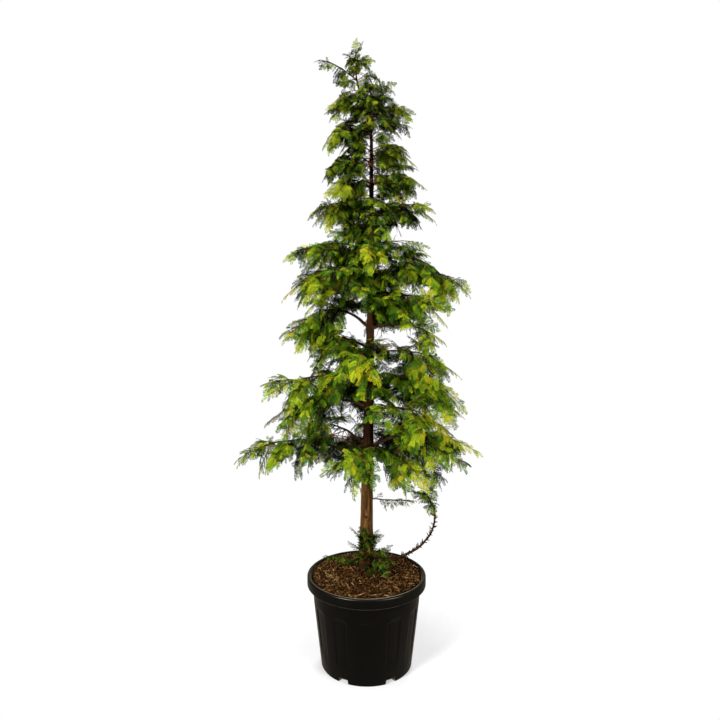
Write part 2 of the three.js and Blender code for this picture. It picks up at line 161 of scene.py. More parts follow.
# Boughs and foliage: the same rule and sizes that the solids are grown by
LIMB_THICK = 0.018
LIMB_THICKEST = 0.009
LIMB_TAPER = 0.5
STEM_TIP_RADIUS = 0.0024
STEM_THINNER = 0.8
BEND = 1.25
PATH_STEPS = 48
FAN_STEP = 0.025
FAN_FROM = 0.6
FAN_COUNT = (4, 8)
FAN_ANGLES = (82.0, 34.0)
FAN_RANKS = (30, 150, 268, 345, 195, 250)
GOLDEN_ANGLE = 137.5
SPRAY_SHARE = 0.52
SPRAY_LENGTH = (0.15, 0.25)
SPRAY_SHRINK = 0.15
SPRAY_DROOP = 0.16
TIP_SPRAY_LENGTH = 0.8
TIP_SPRAY_MOST = 0.6
UNEVEN_TURN = 14.0
UNEVEN_ANGLE = 6.0
UNEVEN_LENGTH = 0.12
STEEP = 0.97

# The skin of a bough, with its bumps by count and height
BOUGH_RING_STEP = 0.007
BOUGH_FEWEST_RINGS = 8
BOUGH_COLUMNS = 14
BOUGH_COLLAR = 0.05
BOUGH_BUMPS = (7, 0.012)
BOUGH_THINNEST = 0.88
BOUGH_ROUGH = 0.26
BOUGH_WANDER = 0.0005

# Finer growth: side shoots on the longer shoots, and hanging shoots between the sprays
SHOOT_UNEVEN = (0.8, 1.15)
SIDE_SHOOTS = 5
SIDE_SPAN = (0.16, 0.78)
SIDE_ANGLE = 52.0
SIDE_ANGLE_SPREAD = 9.0
SIDE_LIFT_SPREAD = 0.25
SIDE_LENGTH = 0.54
SIDE_SHRINK = 0.5
SIDE_LEAST = 0.06
SIDE_SAG = 1.2
HANGING_STEPS = (0.1, 0.45)
HANGING_LENGTH = (0.45, 0.95)
HANGING_TURNS = (215.0, 325.0)
HANGING_ANGLE_SPREAD = 8.0
WEEPING = -56.0

# How far out the shoots of the low growth and of the trunk count as. The further in, the darker their
# needles: partly older needles, partly painted shade inside the crown
LOW_OUTERNESS = 0.8
INNER_OUTERNESS = 0.3

# Short shoots on the trunk, sprigs round its foot, fronds there by bearing and length, and dry spurs
TRUNK_SHOOTS = 112
TRUNK_SHOOT_SPAN = (1.04, 2.46)
TRUNK_SHOOT_LENGTH = ((1.04, 2.3, 2.4, 2.46), (0.24, 0.15, 0.12, 0.07))
TRUNK_SHOOT_CROWDING = 0.8
TRUNK_SHOOT_CLIMB = (5.0, 40.0)
TRUNK_SHOOT_UNEVEN = (0.7, 1.15)
BARE_TRUNK = ((1.27, 1.42), (1.74, 1.8))
FOOT_SPRIGS = 30
FOOT_SPRIG_SPAN = (0.392, 0.48)
FOOT_SPRIG_BEARINGS = (200.0, 335.0)
FOOT_SPRIG_SPREAD = 9.0
FOOT_SPRIG_CLIMB = (35.0, 75.0)
FOOT_SPRIG_LENGTH = (0.035, 0.085)
FOOT_FRONDS = ((160.0, 0.19), (186.0, 0.12), (278.0, 0.125), (300.0, 0.11))
FOOT_FROND_HEIGHT = 0.402
FOOT_FROND_CLIMB = 2.0
FOOT_SAG = 0.1
TRUNK_SPURS = 9
TRUNK_SPUR_SPAN = (0.46, 0.82)
TRUNK_SPUR_TURN = 20.0
TRUNK_SPUR_CLIMB = (10.0, 50.0)
SHOOT_SPURS = 60
SHOOT_SPUR_SPAN = (0.12, 0.78)
SHOOT_SPUR_ANGLE = 60.0
SPUR_LENGTH = (0.011, 0.023)
SPUR_RADIUS = 0.0022
SPUR_TAPER = (1.2, 1.0, 0.6)
SPUR_SIDES = 6

# How shoots sag, more so up the crown, and their wood
SHOOT_SAG = 0.5
UPPER_SAG = 1.5
UPPER_CROWN = (1.5, 2.1)
SAG_SPREAD = (0.4, 1.5)
SAG_CURVE = 1.3
STIFF_SAG = 0.15
TIP_SAG = 0.4
SHOOT_STEPS = 12
SHOOT_ROLL = 34.0
SHOOT_LEAN = 0.2
SHOOT_RADIUS = 0.0023
SHOOT_TAPER = 0.35
SHOOT_FULL_LENGTH = 0.16
SHOOT_MOST_FULL = 1.1
SHOOT_SIDES = 4
SHOOT_RING_STEP = 3

# Where no branchlets grow: near the trunk from a height up, and in open boxes, left, right, low and high
INNER_BARE = 0.042
INNER_BARE_FROM = 0.6
OPEN_SKY = (
    (-0.004, 0.042, 1.9, 2.17),
    (-0.105, -0.02, 1.31, 1.405),
    (0.04, 0.2, 1.285, 1.375),
    (0.09, 0.24, 1.7, 1.785),
    (-0.1, -0.02, 0.945, 1.03),
    (-0.155, -0.05, 0.885, 0.935),
    (0.05, 0.115, 0.7, 0.8),
)

# Branchlets: opposite pairs along a shoot, smaller round the trunk's foot and up the crown. From UPPER_FROM
# up their tints and needles are others.
PAIRS_SPAN = (0.08, 0.97)
PAIRS_FEWEST = 3
PAIRS_SPREAD = 0.012
PAIRS_LEAST = 0.04
BRANCHLET_SHARE = 0.5
BRANCHLET_ANGLES = (80.0, 42.0)
BRANCHLET_ANGLE_SPREAD = 8.0
BRANCHLET_PROFILE = ((0.0, 0.35, 1.0), (0.78, 1.0, 0.7))
BRANCHLET_SPREAD = 0.09
BRANCHLET_TWIST = 0.22
BRANCHLET_KINDS = 9
LAST_BRANCHLET = 0.8
LAST_BRANCHLET_AT = 0.98
FOOT_TOP = 0.6
FOOT_SIZE = 0.62
UPPER_FROM = 1.76
UPPER_SIZE = 0.66

# What makes a branchlet light: growing far out, as the needles inside the crown are older and as painted
# light outside it and painted shade inside it, high up and near its shoot's end, where growth is young, and
# chance
OUTER_LIGHTER = 0.5
HIGH_LIGHTER = 0.15
HIGH_LIGHTER_SPAN = (0.7, 1.05)
END_LIGHTER = 0.36
LAST_LIGHTER = 0.2
SHOOT_CHANCE = 0.09
BRANCHLET_CHANCE = 0.21

# Needles, on a branchlet of length 1 and by share of that length. NEEDLE_TILT is a mean and a spread.
NEEDLE_SPAN = (0.09, 0.96)
NEEDLE_PROFILE = ((0.0, 0.14, 0.4, 0.72, 1.0), (0.6, 0.9, 1.0, 0.92, 0.58))
NEEDLE_ANGLES = (66.0, 40.0)
NEEDLE_ANGLE_SPREAD = 5.0
NEEDLE_SPREAD = 0.07
NEEDLE_TILT = (-0.1, 0.1)
NEEDLE_MIDDLE = 0.45
NEEDLE_FOLD = 0.22
NEEDLE_CURL = 0.12
LAST_NEEDLE_AT = 0.98
LAST_NEEDLE = 0.09
KIND_SAG = (0.1, 0.3)
KIND_SWAY = (-0.1, 0.1)
STALK_AT = (0.0, 0.5, 1.0)
STALK_HALF_WIDTH = (0.012, 0.01, 0.004)

# Needle tints from painted shade inside the crown to young growth and painted light outside it: the share of
# the branchlets and an sRGB colour
TINTS = {
    "shade": (0.18, (8, 17, 4)),
    "deep": (0.22, (37, 67, 10)),
    "green": (0.24, (77, 113, 15)),
    "fresh": (0.19, (120, 145, 19)),
    "lime": (0.13, (160, 171, 23)),
    "gold": (0.04, (176, 165, 28)),
}

# The same for the top of the crown, and for the sprigs round the trunk's foot
UPPER_TINTS = {
    "upper_shade": (0.24, (6, 13, 2)),
    "upper_deep": (0.24, (32, 54, 8)),
    "upper_green": (0.22, (70, 98, 12)),
    "upper_fresh": (0.18, (112, 130, 17)),
    "upper_lime": (0.11, (146, 152, 22)),
    "upper_gold": (0.01, (162, 150, 34)),
}
FOOT_TINTS = {
    "foot_shade": (0.38, (18, 27, 5)),
    "foot_deep": (0.34, (44, 63, 11)),
    "foot_green": (0.28, (84, 108, 24)),
}

# Studio
FLOOR_RADIUS = 3.2
FLOOR_SIDES = 96
FLOOR_DROP = 0.001
FLOOR_GREY = 0.58
FLOOR_GLOW = 0.4
FLOOR_FADE = (0.25, 0.9)
SKY_LIGHT = 0.07
WHITE = (1.0, 1.0, 1.0, 1.0)


@dataclass(frozen=True)
class Habit:
    """How a shoot is set with branchlets: the step between them, their length and how they droop."""

    step: float
    length: float
    droop: tuple


LEAFY = Habit(0.013, 0.036, (0.0, 0.45))
LOOSE = Habit(0.0215, 0.056, (0.2, 0.85))


@dataclass(frozen=True)
class Needles:
    """The pairs of needles on a branchlet, and their length and width as shares of its length."""

    pairs: int
    length: float
    width: float


# The needles of leafy and of loose shoots: fine ones in the lower crown, broader and fewer ones in its top
FINE = (Needles(6, 0.4, 0.142), Needles(8, 0.3, 0.1))
BROAD = (Needles(5, 0.39, 0.2), Needles(7, 0.28, 0.145))


@dataclass
class Bough:
    """A bough by where it leaves the trunk, which way, how long it is and how it climbs."""

    name: str
    height: float
    bearing: float
    length: float
    leaves: float
    ends: float
    bare: float = 0.0
    thick: float = None
    spray: float = None
    bend: float = BEND
    spiral: bool = False


BOUGHS = (
    Bough("1_left", 0.796, 184, 0.58, 37, -42, 0.34, spray=0.17),
    Bough("1_front_left", 0.846, 258, 0.365, 26, -26, 0.24),
    Bough("1_front_right", 0.86, 309, 0.38, 14, -44, 0.28),
    Bough("1_right", 0.87, 352, 0.49, 28, -34, 0.3),
    Bough("1_back_right", 0.832, 58, 0.48, 26, -36, 0.3),
    Bough("1_back_left", 0.862, 126, 0.48, 26, -36),
    Bough("2_left", 1.035, 176, 0.468, 20, -44, 0.28),
    Bough("2_front_right", 1.02, 322, 0.43, 18, -40, 0.28),
    Bough("2_right", 1.12, 8, 0.48, 24, -62, 0.28),
    Bough("2_back", 1.06, 92, 0.44, 22, -36),
    Bough("3_left", 1.136, 194, 0.455, 16, -31, 0.28, spray=0.185),
    Bough("3_front", 1.26, 258, 0.34, 16, -44, 0.24),
    Bough("3_right", 1.25, 342, 0.4, 14, -40, 0.26),
    Bough("3_back", 1.27, 146, 0.42, 24, -34),
    Bough("4_left", 1.35, 178, 0.435, 50, -96, 0.3),
    Bough("4_back", 1.4, 58, 0.37, 26, -38),
    Bough("4_front_right", 1.358, 326, 0.36, 12, -30, 0.45, spray=0.13),
    Bough("4_right", 1.47, 346, 0.365, 22, -64),
    Bough("5_left", 1.53, 198, 0.425, 34, -58, 0.22),
    Bough("5_right", 1.62, 6, 0.485, 24, -104, 0.22, spray=0.17),
    Bough("5_back", 1.55, 76, 0.33, 26, -40),
    Bough("6_left", 1.645, 168, 0.385, 41, -80),
    Bough("6_front", 1.66, 266, 0.28, 26, -46),
    Bough("7_right", 1.802, 352, 0.305, 40, -54),
    Bough("7_back", 1.76, 105, 0.27, 30, -44),
    Bough("7_left", 1.838, 192, 0.284, 28, -64),
    Bough("8_front_left", 1.925, 212, 0.25, 30, -58),
    Bough("8_right", 1.935, 10, 0.265, 42, -48),
    Bough("9_left", 2.03, 172, 0.262, 36, -80),
    Bough("9_back", 2.07, 88, 0.2, 32, -40),
    Bough("9_upper_left", 2.145, 196, 0.268, 38, -84),
    Bough("9_right", 2.052, 344, 0.22, 32, -62),
    Bough("10_right", 2.195, 14, 0.225, 56, -26),
    Bough("10_left", 2.265, 196, 0.182, 42, -60),
    Bough("11_right", 2.27, 350, 0.152, 42, -40, spray=0.088),
    Bough("11_left", 2.37, 186, 0.19, 40, 10, spray=0.056),
    Bough("low_twig", 0.664, 352, 0.21, -4, 4, thick=0.003, spray=0.044),
    Bough("foot", 0.412, 316, 0.17, 34, -16, thick=0.004, spray=0.105),
    Bough("foot_shoot", 0.404, 12, 0.556, -3, 182, 0.78, thick=0.0064, spray=0.086, bend=1.8),
    Bough("leader", TRUNK_TOP, 90, 0.112, 89, 89, spray=0.066, spiral=True),
)


def seeded(seed):
    """The repeatable stream of numbers from 0 to 1 that the solids are grown by."""
    word = 0xFFFFFFFF
    state = seed
    while True:
        state = (state + 0x6D2B79F5) & word
        mixed = ((state ^ state >> 15) * (state | 1)) & word
        mixed ^= (mixed + (mixed ^ mixed >> 7) * (mixed | 61)) & word
        yield (mixed ^ mixed >> 14) / 2**32


def lerp(start, end, share):
    return start + (end - start) * share


def smooth(value, low, high):
    """0 below low, 1 above high, and a soft step between."""
    share = np.clip((value - low) / (high - low), 0.0, 1.0)
    return share * share * (3 - 2 * share)


def full_turn(columns):
    """The bearings in radians of columns spaced evenly round a turn."""
    return np.arange(columns) * 2 * np.pi / columns


def polar(radius, bearing, z):
    """Points from their distances to the Z axis, bearings in radians and heights."""
    return np.stack([radius * np.cos(bearing), radius * np.sin(bearing), z], axis=-1)


def unit(vectors):
    return vectors / np.linalg.norm(vectors, axis=-1, keepdims=True)


def square_to(vectors, axis):
    """The unit part of the vectors that is square to the axis."""
    return unit(vectors - np.sum(vectors * axis, axis=-1, keepdims=True) * axis)


# Meshes


def join(parts):
    """Several pairs of vertices and triangles as one pair."""
    vertices, triangles, start = [], [], 0
    for points, faces in parts:
        vertices.append(points)
        triangles.append(faces + start)
        start += len(points)
    return np.concatenate(vertices), np.concatenate(triangles)


def band(rows, columns):
    """Triangles of a closed band: rows of points, each a full turn, one after the other."""
    row, column = np.meshgrid(np.arange(rows - 1), np.arange(columns), indexing="ij")
    here = row * columns + column
    beside = row * columns + (column + 1) % columns
    lower = np.stack([here, beside, beside + columns], axis=-1)
    upper = np.stack([here, beside + columns, here + columns], axis=-1)
    return np.concatenate([lower.reshape(-1, 3), upper.reshape(-1, 3)])


def fan(ring, centre, outward):
    """Triangles that close a ring of points at its centre."""
    after = np.roll(ring, -1)
    faces = np.stack([ring, after, np.full_like(ring, centre)], axis=-1)
    return faces if outward else faces[:, ::-1]


def closed(rings):
    """A closed skin over an array of rings of points: rows, columns and place."""
    rows, columns, _ = rings.shape
    ends = np.stack([rings[0].mean(axis=0), rings[-1].mean(axis=0)])
    vertices = np.concatenate([rings.reshape(-1, 3), ends])
    first = np.arange(columns)
    last = first + (rows - 1) * columns
    foot = fan(first, rows * columns, outward=False)
    top = fan(last, rows * columns + 1, outward=True)
    return vertices, np.concatenate([band(rows, columns), foot, top])


def shown(name, data):
    """A new object of the scene."""
    made = bpy.data.objects.new(name, data)
    bpy.context.scene.collection.objects.link(made)
    return made


def piece(name, skin, material, replaced=()):
    """A joined mesh as a piece of the object, which stands for the named solids."""
    vertices, triangles = skin
    mesh = bpy.data.meshes.new(name)
    mesh.vertices.add(len(vertices))
    mesh.vertices.foreach_set("co", vertices.astype(np.float32).ravel())
    mesh.loops.add(triangles.size)
    mesh.loops.foreach_set("vertex_index", triangles.astype(np.int32).ravel())
    mesh.polygons.add(len(triangles))
    mesh.polygons.foreach_set("loop_start", np.arange(0, triangles.size, 3, dtype=np.int32))
    mesh.update(calc_edges=True)
    mesh.validate()
    mesh.materials.append(material)
    made = shown(name, mesh)
    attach(made, "root")
    if replaced:
        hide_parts(*replaced)
    return made


def paint(made, name, values):
    """A number for each vertex of a piece, which its material reads by name."""
    layer = made.data.attributes.new(name, "FLOAT", "POINT")
    layer.data.foreach_set("value", values.astype(np.float32))


def turned(line, radii):
    """Rings of points round a line, with a radius for each of its points and each column of the rings."""
    ahead = unit(np.gradient(line, axis=0))
    side = np.empty_like(ahead)
    aside = UP if abs(ahead[0, 2]) < STEEP else np.array([1.0, 0.0, 0.0])
    for i, forward in enumerate(ahead):
        aside = square_to(aside, forward)
        side[i] = aside
    over = np.cross(ahead, side)
    angle = full_turn(radii.shape[1])
    out = side[:, None] * np.cos(angle)[None, :, None] + over[:, None] * np.sin(angle)[None, :, None]
    return line[:, None] + out * radii[:, :, None]


def lattice_noise(around, along, cells, height, random):
    """Smooth noise from 0 to 1 over a turn and a length: cells round the turn, each of that height."""
    rows = int(along.max() / height) + 3
    values = random.random((rows, cells))
    x = around * cells
    y = along / height
    x0, y0 = np.floor(x).astype(int), np.floor(y).astype(int)
    fx, fy = smooth(x - x0, 0, 1), smooth(y - y0, 0, 1)
    low = lerp(values[y0, x0 % cells], values[y0, (x0 + 1) % cells], fx)
    high = lerp(values[y0 + 1, x0 % cells], values[y0 + 1, (x0 + 1) % cells], fx)
    return lerp(low, high, fy)


# Materials


def linear(colour):
    """An sRGB colour from 0 to 255 as linear red, green, blue and alpha."""
    shares = [channel / 255 for channel in colour]
    return [s / 12.92 if s <= 0.04045 else ((s + 0.055) / 1.055) ** 2.4 for s in shares] + [1.0]


class Paint:
    """A node material with short ways to add nodes and to set its shader."""

    def __init__(self, name, roughness, specular):
        self.material = bpy.data.materials.new(name)
        self.material.use_nodes = True
        self.tree = self.material.node_tree
        self.shader = self.tree.nodes["Principled BSDF"]
        self.shade(Roughness=roughness, Specular_IOR_Level=specular)

    def feed(self, socket, value):
        """A value for a socket, or a link to it from another."""
        if isinstance(value, bpy.types.NodeSocket):
            self.tree.links.new(value, socket)
        else:
            socket.default_value = value

    def fill(self, node, inputs):
        for name, value in inputs.items():
            self.feed(node.inputs[name.replace("_", " ")], value)
        return node

    def shade(self, **inputs):
        self.fill(self.shader, inputs)

    def node(self, kind, **inputs):
        return self.fill(self.tree.nodes.new(kind), inputs)

    def noise(self, scale, detail=6.0, stretch=(1.0, 1.0, 1.0), roughness=0.6):
        place = self.node("ShaderNodeTexCoord").outputs["Object"]
        mapped = self.node("ShaderNodeMapping", Vector=place, Scale=stretch).outputs["Vector"]
        made = self.node("ShaderNodeTexNoise", Vector=mapped, Scale=scale, Detail=detail, Roughness=roughness)
        return made.outputs["Fac"]

    def attribute(self, name):
        made = self.node("ShaderNodeAttribute")
        made.attribute_name = name
        return made.outputs["Fac"]

    def ramp(self, factor, *stops):
        made = self.node("ShaderNodeValToRGB", Fac=factor)
        elements = made.color_ramp.elements
        while len(elements) < len(stops):
            elements.new(0.5)
        for element, (position, colour) in zip(elements, stops):
            element.position = position
            element.color = linear(colour)
        return made.outputs["Color"]

    def mixed(self, factor, first, second, blend="MIX"):
        made = self.node("ShaderNodeMix")
        made.data_type = "RGBA"
        made.blend_type = blend
        values = {"Factor_Float": factor, "A_Color": first, "B_Color": second}
        for socket in made.inputs:
            if socket.identifier in values:
                self.feed(socket, values[socket.identifier])
        return next(s for s in made.outputs if s.identifier == "Result_Color")

    def bump(self, height, strength, distance):
        made = self.node("ShaderNodeBump", Height=height, Strength=strength, Distance=distance)
        self.shade(Normal=made.outputs["Normal"])


def plain_material(name, colour, roughness, specular):
    made = Paint(name, roughness, specular)
    made.shade(Base_Color=linear(colour))
    return made.material


def pot_material():
    made = Paint("black_plastic", 0.30, 0.34)
    made.shade(Specular_Tint=linear((255, 240, 214)), Sheen_Tint=linear((255, 236, 200)))
    made.shade(Sheen_Weight=0.26, Sheen_Roughness=0.33)
    dust = made.noise(9.0, detail=8.0, stretch=(1.0, 1.0, 0.5))
    made.shade(Base_Color=made.ramp(dust, (0.35, (4, 4, 3)), (0.62, (6, 5, 4)), (0.82, (12, 11, 8))))
    worn = made.node("ShaderNodeMapRange", Value=made.noise(26.0, detail=8.0), To_Min=0.24, To_Max=0.38)
    made.shade(Roughness=worn.outputs["Result"])
    made.bump(made.noise(420.0, detail=3.0), 0.16, 0.0006)
    return made.material


def bark_material():
    made = Paint("bark", 0.92, 0.08)
    ridge = made.attribute("ridge")
    fibre = made.noise(30.0, detail=9.0, stretch=(9.0, 9.0, 0.8))
    low = made.ramp(fibre, (0.30, (26, 15, 7)), (0.55, (58, 36, 16)), (0.75, (86, 56, 26)))
    high = made.ramp(fibre, (0.30, (70, 46, 21)), (0.55, (110, 76, 37)), (0.78, (146, 108, 60)))
    # Painted shade: the bark is multiplied darker by its shade value
    shaded = made.ramp(made.attribute("shade"), (0.0, (255, 255, 255)), (1.0, (92, 74, 62)))
    made.shade(Base_Color=made.mixed(1.0, made.mixed(ridge, low, high), shaded, "MULTIPLY"))
    made.bump(made.noise(60.0, detail=10.0, stretch=(9.0, 9.0, 0.9)), 0.6, 0.0015)
    return made.material


def limb_material():
    made = Paint("limb_bark", 0.85, 0.1)
    patch = made.noise(70.0, detail=8.0)
    made.shade(Base_Color=made.ramp(patch, (0.32, (24, 15, 9)), (0.52, (48, 30, 17)), (0.72, (80, 51, 29))))
    made.bump(made.noise(220.0, detail=8.0), 0.5, 0.0010)
    return made.material


def twig_material():
    made = Paint("twig_bark", 0.8, 0.1)
    patch = made.noise(60.0, detail=6.0)
    brown = made.ramp(patch, (0.35, (70, 42, 18)), (0.55, (104, 66, 28)), (0.75, (128, 92, 38)))
    made.shade(Base_Color=brown)
    return made.material


def soil_material():
    made = Paint("soil", 0.95, 0.05)
    grain = made.noise(130.0, detail=10.0, roughness=0.7)
    made.shade(Base_Color=made.ramp(grain, (0.34, (16, 9, 5)), (0.52, (46, 28, 14)), (0.70, (90, 62, 32))))
    made.bump(made.noise(240.0, detail=8.0), 0.9, 0.0030)
    return made.material


# Pot


def pot_radius(z):
    return lerp(POT_BASE_RADIUS, POT_BODY_RADIUS, z / POT_BODY_TOP)


def arc(centre, radius, start, end, count):
    """Points of a round in the pot's profile, as radius and height."""
    angle = np.radians(np.linspace(start, end, count))
    return np.stack([centre[0] + radius * np.cos(angle), centre[1] + radius * np.sin(angle)], axis=-1)


def pot_profile():
    """The pot from its underside up the outside, over the lip and down inside it to below the soil."""
    inner_edge = POT_BASE_RADIUS - NOTCH_DEPTH
    under = [(inner_edge, 0.0), (inner_edge + NOTCH_WALL, 0.0), (POT_BASE_RADIUS - POT_BASE_ROUND, 0.0)]
    foot_centre = (pot_radius(POT_BASE_ROUND) - POT_BASE_ROUND, POT_BASE_ROUND)
    foot = arc(foot_centre, POT_BASE_ROUND, start=-75, end=0, count=6)
    body = [(pot_radius(z), z) for z in np.linspace(POT_BODY_FOOT, POT_BODY_TOP, POT_BODY_ROWS)]
    rise = np.linspace(*SHOULDER_SPAN, SHOULDER_ROWS)
    shoulder = np.stack([lerp(POT_BODY_RADIUS, POT_NECK_RADIUS, rise),
                         lerp(POT_BODY_TOP, POT_NECK_TOP, rise**SHOULDER_ROUND)], axis=-1)
    half = LIP_ROUND / 2
    low = arc((LIP_RADIUS - half, LIP_BOTTOM + half), half, start=-90, end=0, count=7)
    high = arc((LIP_RADIUS - half, POT_TOP - half), half, start=0, end=90, count=9)
    lip_inside = LIP_RADIUS - LIP_WIDTH
    neck_inside = POT_NECK_RADIUS - POT_WALL
    inside = [(lip_inside, POT_TOP - LIP_EASE), (lip_inside - LIP_EASE, POT_TOP - 3 * LIP_EASE),
              (neck_inside, POT_INSIDE_TOP), (neck_inside - POT_WALL_TAPER, POT_INSIDE_FOOT)]
    return np.concatenate([under, foot, body, shoulder, low, high, inside])


def flute_depth(turn, z):
    """How far the flutes are pressed in at a turn, in flute pitches from the front, and a height."""
    off = np.abs(turn - np.round(turn))
    across = 1 - smooth(off, *FLUTE_EDGE)
    top = FLUTE_TOP - FLUTE_ARCH * (off / FLUTE_HALF) ** 2
    return FLUTE_DEPTH * across * smooth(z, *FLUTE_FADE) * (1 - smooth(z, top - FLUTE_TOP_EDGE, top))


def notch_lift(turn, z):
    """How far the underside is lifted by the drain notches, in notch pitches from one of them."""
    half = NOTCH_WIDTH / 2 / POT_BASE_RADIUS / (2 * np.pi) * NOTCHES
    off = np.abs(turn - np.round(turn))
    return np.maximum(NOTCH_HEIGHT - z, 0.0) * (1 - smooth(off, half - NOTCH_EDGE, half + NOTCH_EDGE))


def make_pot():
    profile = pot_profile()
    bearing = full_turn(POT_COLUMNS)
    radius, z = (np.repeat(column[:, None], POT_COLUMNS, axis=1) for column in profile.T)
    front_turn = (bearing + np.pi / 2) / (2 * np.pi) * FLUTES
    outside = (z > 0.0) & (z < POT_BODY_TOP)
    radius = radius - np.where(outside, flute_depth(front_turn[None], z), 0.0)
    lift = notch_lift((bearing / (2 * np.pi) * NOTCHES)[None], z)
    lift[0] = 0.0
    rings = polar(radius, bearing, z + lift)
    vertices = np.concatenate([rings.reshape(-1, 3), [[0.0, 0.0, 0.0]]])
    rows = len(profile)
    underside = fan(np.arange(POT_COLUMNS), rows * POT_COLUMNS, outward=False)
    skin = vertices, np.concatenate([band(rows, POT_COLUMNS), underside])
    piece("pot_shell", skin, pot_material(), ["pot"])


# Soil


def soil_height(radius):
    return np.interp(radius, *zip(*SOIL_PROFILE))


def make_soil(random):
    radius = np.linspace(SOIL_START, SOIL_PROFILE[-1][0], SOIL_RINGS)[:, None]
    radius, bearing = np.broadcast_arrays(radius, full_turn(SOIL_COLUMNS))
    around = bearing / (2 * np.pi)
    rough = sum(lattice_noise(around, radius, *lumps, random) - 0.5 for lumps in SOIL_LUMPS)
    z = soil_height(radius) + SOIL_ROUGH * rough * smooth(radius, *SOIL_EVEN) - SOIL_SINK
    rings = polar(radius, bearing, z)
    bottom = rings[-1:] * np.array([SOIL_BED_SHARE, SOIL_BED_SHARE, 0.0]) + UP * SOIL_BED
    rings = np.concatenate([bottom, rings[::-1]])
    piece("soil_bed", closed(rings), soil_material(), ["soil"])


def chip_skins(count, random):
    """Bent slips and strands of bark, lying on the soil."""
    radius = CHIP_REACH * np.sqrt(lerp(CHIP_CLEAR, 1.0, random.random(count)))
    bearing = 2 * np.pi * random.random(count)
    length = lerp(*CHIP_LENGTH, random.random(count) ** 2)
    width = CHIP_NARROWEST + length * lerp(*CHIP_SLIMNESS, random.random(count) ** 2)
    thick = lerp(*CHIP_THICKNESS, random.random(count))
    sit = soil_height(radius) + lerp(*CHIP_LIFT, random.random(count))
    centre = polar(radius, bearing, sit)
    along = unit(random.normal(size=(count, 3)) * np.array([1.0, 1.0, CHIP_RISE]))
    across = square_to(random.normal(size=(count, 3)) * np.array([1.0, 1.0, CHIP_ROLL]), along)
    over = np.cross(along, across)
    stations, bend, narrow = np.array(CHIP_SHAPE)[:, None, :, None, None]
    corners = np.array(CHIP_CORNERS)[None, None]
    along, across, over = (axis[:, None, None] for axis in (along, across, over))
    length, width, thick = (size[:, None, None, None] for size in (length, width, thick))
    rings = centre[:, None, None] + length * (stations * along + bend * over)
    rings = rings + narrow * width * corners[..., 0:1] * across
    rings = rings + thick * corners[..., 1:2] * over
    return [closed(ring) for ring in rings]


def make_chips(random):
    for tint, (share, colour) in CHIP_TINTS.items():
        skin = join(chip_skins(int(CHIP_COUNT * share), random))
        piece(f"soil_chips_{tint}", skin, plain_material(f"chip_{tint}", colour, 0.9, 0.06))


# Trunk


def trunk_centre(z):
    z = np.asarray(z, dtype=float)
    lean = BOW * smooth(z, *BOW_SPAN) - KINK * smooth(z, *KINK_SPAN)
    return np.stack([lean, np.zeros_like(z), z], axis=-1)


def trunk_radius(z):
    taper = lerp(TRUNK_FOOT_RADIUS, TRUNK_TIP_RADIUS, (z - TRUNK_FOOT) / (TRUNK_TOP - TRUNK_FOOT))
    return taper + FLARE * np.exp(-np.maximum(z - TRUNK_FOOT, 0.0) / FLARE_HEIGHT)


def off_bearing(bearing, target):
    """The turn between two bearings in radians, from 0 to half a turn."""
    return np.abs((bearing - target + np.pi) % (2 * np.pi) - np.pi)


def collars(bearing, z):
    """Swellings where the boughs leave the trunk."""
    swell = np.zeros_like(z)
    for bough in BOUGHS[:-1]:
        wide = COLLAR_WIDTH * limb_radius(bough)
        away = off_bearing(bearing, math.radians(bough.bearing)) * trunk_radius(bough.height)
        rise = (z - bough.height - COLLAR_LIFT * wide) / COLLAR_STRETCH
        swell += COLLAR_SWELL * limb_radius(bough) * np.exp(-(away**2 + rise**2) / wide**2)
    return swell


def knot_relief(bearing, z):
    """A healed scar: a raised oval rim round a hollow."""
    away = off_bearing(bearing, math.radians(KNOT_BEARING)) * trunk_radius(KNOT_HEIGHT)
    reach = np.hypot(away / KNOT_SIZE, (z - KNOT_HEIGHT) / (KNOT_FLATNESS * KNOT_SIZE))
    rim = KNOT_RIM * np.exp(-((reach - 1) / KNOT_RIM_WIDTH) ** 2)
    return rim - KNOT_HOLLOW * np.exp(-((reach / KNOT_HOLLOW_WIDTH) ** 2))


def make_trunk(random):
    z = np.arange(TRUNK_FOOT - TRUNK_SINK, TRUNK_TOP, TRUNK_RING_STEP)[:, None]
    z, bearing = np.broadcast_arrays(z, full_turn(TRUNK_COLUMNS))
    drift = sum(turn * np.sin(z * pace) for turn, pace in BARK_DRIFT)
    around = (bearing / (2 * np.pi) + drift) % 1.0
    along = z - z.min()
    strips = sum(weight * (1 - np.abs(2 * lattice_noise(around, along, cells, size, random) - 1))
                 for cells, size, weight in BARK_STRIPS) / sum(weight for _, _, weight in BARK_STRIPS)
    ridge = smooth(strips, *BARK_RIDGES)
    base = trunk_radius(z)
    radius = base * (1 + BARK_DEPTH * (ridge - 0.5)) + collars(bearing, z) + knot_relief(bearing, z)
    skin = closed(trunk_centre(z) + polar(radius, bearing, np.zeros_like(z)))
    made = piece("trunk_bark", skin, bark_material(), ["trunk"])
    # Painted shade in the scar's hollow: there the shade value is raised and the ridge value lowered, both of
    # which darken the bark
    hollow = smooth(knot_relief(bearing, z), -KNOT_RIM, 0.0)
    shade = np.maximum(np.interp(z, BARK_SHADE_AT, BARK_SHADE), 1 - hollow)
    # The last two values are for the middles of the foot and of the top
    paint(made, "ridge", np.concatenate([(ridge * hollow).ravel(), [0.5, 0.5]]))
    paint(made, "shade", np.concatenate([shade.ravel(), [0.0, 1.0]]))


# Boughs


def limb_radius(bough):
    if bough.thick is not None:
        return bough.thick
    return min(LIMB_THICK * bough.length, LIMB_THICKEST)


def heading(bearing, climb):
    """Unit directions from bearings and climbs in degrees."""
    bearing, climb = np.radians(bearing), np.radians(climb)
    return polar(np.cos(climb), bearing, np.sin(climb))


